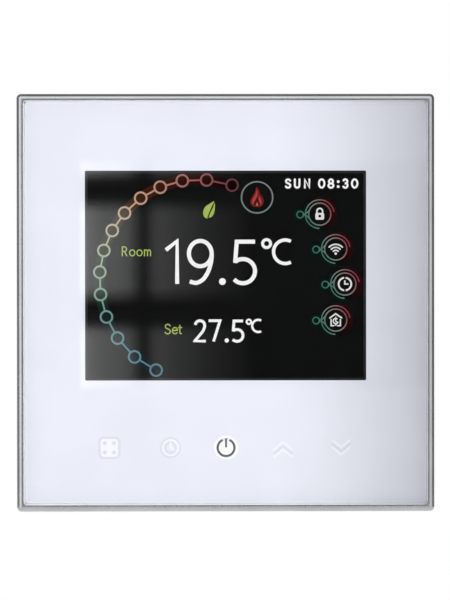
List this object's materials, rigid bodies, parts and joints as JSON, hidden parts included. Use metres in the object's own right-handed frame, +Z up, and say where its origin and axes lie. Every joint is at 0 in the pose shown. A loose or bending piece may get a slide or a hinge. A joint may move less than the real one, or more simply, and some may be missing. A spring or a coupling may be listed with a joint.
{
  "type": "wall thermostat",
  "caption": "Square glass-fronted room thermostat with colour display and touch keys, on a steel wall plate with a power box behind it.",
  "frame": {"origin": "centre of the plane where the mounting plate rests on the wall, on the middle of the square front", "axes": "+X right as the user sees the front, +Z up, +Y into the wall (the glass faces -Y)"},
  "size_m": [0.086, 0.0439, 0.086],
  "materials": {
    "clear_glass": "polished, bevelled edge",
    "white_print": "white ink under glass",
    "clear_tape": "adhesive film",
    "satin_bezel": "satin anodised, bright edge",
    "black_foam": "closed-cell foam",
    "display_cell": "dark glass, lit read-out",
    "backlight_white": "moulded tray",
    "bracket_plastic": "moulded",
    "amber_film": "polyimide film",
    "spring_steel": "plated wire",
    "milky_guide": "milky acrylic",
    "led_white": "resin",
    "control_board_green": "solder mask",
    "chip_black": "moulded epoxy",
    "module_blue": "solder mask",
    "shield_steel": "pressed tinplate",
    "coin_steel": "turned, plated",
    "holder_black": "moulded",
    "bead_epoxy": "dipped bead",
    "pin_gold": "gold flashed",
    "cover_white": "fine spark texture",
    "screw_zinc": "zinc plated",
    "plate_zinc": "galvanised sheet",
    "box_white": "fine spark texture",
    "power_board_green": "solder mask",
    "relay_blue": "moulded",
    "coil_copper": "enamelled wire",
    "soft_iron": "plated",
    "contact_silver": "silver contact",
    "ferrite_grey": "sintered",
    "winding_tape": "polyester tape",
    "can_sleeve": "shrink sleeve",
    "capacitor_yellow": "moulded box",
    "varistor_blue": "dipped ceramic",
    "fuse_ceramic": "cartridge with plated caps",
    "terminal_green": "moulded",
    "terminal_brass": "stamped",
    "terminal_steel": "nickel plated"
  },
  "bodies": {
    "wall_unit": {"mounting_plate": "plate_zinc", "plate_screws": "screw_zinc", "power_box": "box_white", "power_box_lid": "box_white", "power_board": "power_board_green", "socket_housing": "holder_black", "relay_base": "holder_black", "relay_case": "relay_blue", "relay_coil": "coil_copper", "relay_yoke": "soft_iron", "relay_fixed_contact": "contact_silver", "transformer_core": "ferrite_grey", "transformer_winding": "winding_tape", "filter_capacitors": "can_sleeve", "mains_capacitor": "capacitor_yellow", "varistor": "varistor_blue", "fuse": "fuse_ceramic", "bridge_rectifier": "chip_black", "terminal_housing": "terminal_green", "terminal_bars": "terminal_brass"},
    "front_panel": {"front_glass": "clear_glass", "printed_mask": "white_print", "glass_tape": "clear_tape", "bezel_frame": "satin_bezel", "display_gasket": "black_foam", "lcd_cell": "display_cell", "lcd_backlight": "backlight_white", "display_bracket": "bracket_plastic", "lcd_flex_cable": "amber_film", "touch_springs": "spring_steel", "key_light_guide": "milky_guide", "key_leds": "led_white", "control_board": "control_board_green", "control_mcu": "chip_black", "touch_chip": "chip_black", "wifi_module_board": "module_blue", "wifi_shield_can": "shield_steel", "clock_backup_cell": "coin_steel", "cell_holder": "holder_black", "room_sensor": "bead_epoxy", "control_board_parts": "chip_black", "panel_header_pins": "pin_gold", "panel_header_body": "holder_black", "panel_back_cover": "cover_white", "panel_cover_screws": "screw_zinc", "board_screws": "screw_zinc"},
    "relay_armature": {"relay_armature": "soft_iron"},
    "terminal_screw_1": {"terminal_screw_1": "terminal_steel"},
    "terminal_cage_1": {"terminal_cage_1": "terminal_steel"},
    "terminal_screw_2": {"terminal_screw_2": "terminal_steel"},
    "terminal_cage_2": {"terminal_cage_2": "terminal_steel"},
    "terminal_screw_3": {"terminal_screw_3": "terminal_steel"},
    "terminal_cage_3": {"terminal_cage_3": "terminal_steel"},
    "terminal_screw_4": {"terminal_screw_4": "terminal_steel"},
    "terminal_cage_4": {"terminal_cage_4": "terminal_steel"},
    "terminal_screw_5": {"terminal_screw_5": "terminal_steel"},
    "terminal_cage_5": {"terminal_cage_5": "terminal_steel"},
    "terminal_screw_6": {"terminal_screw_6": "terminal_steel"},
    "terminal_cage_6": {"terminal_cage_6": "terminal_steel"}
  },
  "joints": [
    {"name": "panel_pull_off", "type": "slide", "parent": "wall_unit", "child": "front_panel", "axis": [0, -1, 0], "range_m": [0, 0.045]},
    {"name": "relay_armature_pivot", "type": "hinge", "parent": "wall_unit", "child": "relay_armature", "pos_m": [-0.002, 0.0184, 0.0158], "axis": [0, 0, -1], "range_deg": [0, 3.2], "stiffness_Nm_per_rad": 0.05, "springref_deg": -5.73},
    {"name": "terminal_cage_1_lift", "type": "slide", "parent": "wall_unit", "child": "terminal_cage_1", "axis": [0, 1, 0], "range_m": [0, 0.0025]},
    {"name": "terminal_screw_1_turn", "type": "hinge", "parent": "wall_unit", "child": "terminal_screw_1", "pos_m": [-0.01905, 0.0267, -0.0232], "axis": [0, -1, 0], "range_deg": [0, 1801]},
    {"name": "terminal_cage_2_lift", "type": "slide", "parent": "wall_unit", "child": "terminal_cage_2", "axis": [0, 1, 0], "range_m": [0, 0.0025]},
    {"name": "terminal_screw_2_turn", "type": "hinge", "parent": "wall_unit", "child": "terminal_screw_2", "pos_m": [-0.01143, 0.0267, -0.0232], "axis": [0, -1, 0], "range_deg": [0, 1801]},
    {"name": "terminal_cage_3_lift", "type": "slide", "parent": "wall_unit", "child": "terminal_cage_3", "axis": [0, 1, 0], "range_m": [0, 0.0025]},
    {"name": "terminal_screw_3_turn", "type": "hinge", "parent": "wall_unit", "child": "terminal_screw_3", "pos_m": [-0.00381, 0.0267, -0.0232], "axis": [0, -1, 0], "range_deg": [0, 1801]},
    {"name": "terminal_cage_4_lift", "type": "slide", "parent": "wall_unit", "child": "terminal_cage_4", "axis": [0, 1, 0], "range_m": [0, 0.0025]},
    {"name": "terminal_screw_4_turn", "type": "hinge", "parent": "wall_unit", "child": "terminal_screw_4", "pos_m": [0.00381, 0.0267, -0.0232], "axis": [0, -1, 0], "range_deg": [0, 1801]},
    {"name": "terminal_cage_5_lift", "type": "slide", "parent": "wall_unit", "child": "terminal_cage_5", "axis": [0, 1, 0], "range_m": [0, 0.0025]},
    {"name": "terminal_screw_5_turn", "type": "hinge", "parent": "wall_unit", "child": "terminal_screw_5", "pos_m": [0.01143, 0.0267, -0.0232], "axis": [0, -1, 0], "range_deg": [0, 1801]},
    {"name": "terminal_cage_6_lift", "type": "slide", "parent": "wall_unit", "child": "terminal_cage_6", "axis": [0, 1, 0], "range_m": [0, 0.0025]},
    {"name": "terminal_screw_6_turn", "type": "hinge", "parent": "wall_unit", "child": "terminal_screw_6", "pos_m": [0.01905, 0.0267, -0.0232], "axis": [0, -1, 0], "range_deg": [0, 1801]}
  ],
  "couplings": [
    {"joint": "terminal_screw_1_turn", "follows": "terminal_cage_1_lift", "rad_per_m": 12566},
    {"joint": "terminal_screw_2_turn", "follows": "terminal_cage_2_lift", "rad_per_m": 12566},
    {"joint": "terminal_screw_3_turn", "follows": "terminal_cage_3_lift", "rad_per_m": 12566},
    {"joint": "terminal_screw_4_turn", "follows": "terminal_cage_4_lift", "rad_per_m": 12566},
    {"joint": "terminal_screw_5_turn", "follows": "terminal_cage_5_lift", "rad_per_m": 12566},
    {"joint": "terminal_screw_6_turn", "follows": "terminal_cage_6_lift", "rad_per_m": 12566}
  ]
}
